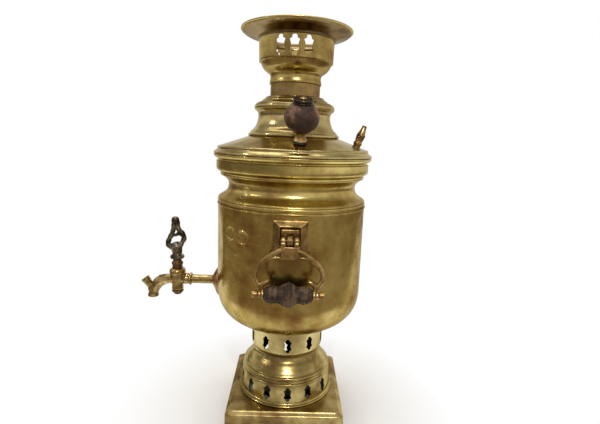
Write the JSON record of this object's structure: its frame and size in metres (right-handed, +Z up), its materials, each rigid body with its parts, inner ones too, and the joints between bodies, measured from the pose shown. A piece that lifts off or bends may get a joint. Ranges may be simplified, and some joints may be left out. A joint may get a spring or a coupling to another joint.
{
  "type": "samovar",
  "caption": "Tall metal water urn with a central chimney, pierced foot, plug tap, swinging wooden-gripped handles, and a lift-off lid and teapot crown.",
  "frame": {"origin": "on the floor, on the axis of the body and the chimney, midway between the feet", "axes": "+Z up along the chimney, the tap points to -X, the handles hang at -Y and +Y"},
  "size_m": [0.2811, 0.2324, 0.4737],
  "materials": {
    "foot_brass": "stained",
    "plate_brass": "stained",
    "drum_brass": "stained",
    "neck_brass": "tarnished",
    "body_brass": "tarnished",
    "rim_brass": "tarnished",
    "lid_brass": "tarnished",
    "collar_brass": "tarnished",
    "crown_brass": "tarnished",
    "dish_brass": "tarnished",
    "chimney_brass": "stained",
    "grate_iron": "rough",
    "tap_brass": "tarnished",
    "key_brass": "tarnished",
    "leaf_bronze": "worn",
    "vent_bronze": "worn",
    "hinge_bronze": "worn",
    "bail_bronze": "worn",
    "end_nut_bronze": "worn",
    "pin_brass": "worn",
    "stem_bronze": "worn",
    "screw_bronze": "worn",
    "cap_metal": "dark",
    "rod_metal": "dark",
    "grip_wood": "worn varnish",
    "knob_wood": "worn varnish",
    "washer_fibre": "matt"
  },
  "bodies": {
    "stand": {"foot_front_left": "foot_brass", "foot_front_right": "foot_brass", "foot_back_left": "foot_brass", "foot_back_right": "foot_brass", "base_plate": "plate_brass", "base_drum": "drum_brass", "neck_ring": "neck_brass", "water_body": "body_brass", "rim_ring": "rim_brass", "fire_tube": "chimney_brass", "fire_grate": "grate_iron", "tap_body": "tap_brass", "tap_escutcheon": "leaf_bronze", "handle_front_plate": "hinge_bronze", "handle_front_pin": "pin_brass", "handle_back_plate": "hinge_bronze", "handle_back_pin": "pin_brass"},
    "lid": {"lid": "lid_brass", "lid_collar": "collar_brass", "vent_base": "vent_bronze", "knob_front_washer": "washer_fibre", "knob_front_stem": "stem_bronze", "knob_front_ball": "knob_wood", "knob_front_cap": "cap_metal", "knob_front_screw": "screw_bronze", "knob_front_nut": "screw_bronze", "knob_back_washer": "washer_fibre", "knob_back_stem": "stem_bronze", "knob_back_ball": "knob_wood", "knob_back_cap": "cap_metal", "knob_back_screw": "screw_bronze", "knob_back_nut": "screw_bronze"},
    "crown": {"crown_cup": "crown_brass", "crown_dish": "dish_brass"},
    "vent_cap": {"vent_cap": "vent_bronze"},
    "tap_key": {"tap_key": "key_brass", "tap_key_washer": "rod_metal"},
    "front_bail": {"handle_front_bail": "bail_bronze", "handle_front_grip": "grip_wood", "handle_front_rod": "rod_metal", "handle_front_nut_left": "end_nut_bronze", "handle_front_nut_right": "end_nut_bronze"},
    "back_bail": {"handle_back_bail": "bail_bronze", "handle_back_grip": "grip_wood", "handle_back_rod": "rod_metal", "handle_back_nut_left": "end_nut_bronze", "handle_back_nut_right": "end_nut_bronze"}
  },
  "joints": [
    {"name": "lid_lift", "type": "slide", "parent": "stand", "child": "lid", "axis": [0, 0, 1], "range_m": [0, 0.15]},
    {"name": "crown_lift", "type": "slide", "parent": "lid", "child": "crown", "axis": [0, 0, 1], "range_m": [0, 0.12]},
    {"name": "vent_cap_turn", "type": "hinge", "parent": "lid", "child": "vent_cap", "pos_m": [0.07734, 0.00745, 0.34438], "axis": [0.3354, 0.0323, 0.9415], "continuous": true},
    {"name": "tap_key_turn", "type": "hinge", "parent": "stand", "child": "tap_key", "pos_m": [-0.1414, 0, 0.1712], "axis": [0, 0, 1], "continuous": true},
    {"name": "handle_front_swing", "type": "hinge", "parent": "stand", "child": "front_bail", "pos_m": [0, -0.0996, 0.2495], "axis": [-1, 0, 0], "range_deg": [0, 120]},
    {"name": "handle_back_swing", "type": "hinge", "parent": "stand", "child": "back_bail", "pos_m": [0, 0.0996, 0.2495], "axis": [1, 0, 0], "range_deg": [0, 120]}
  ]
}
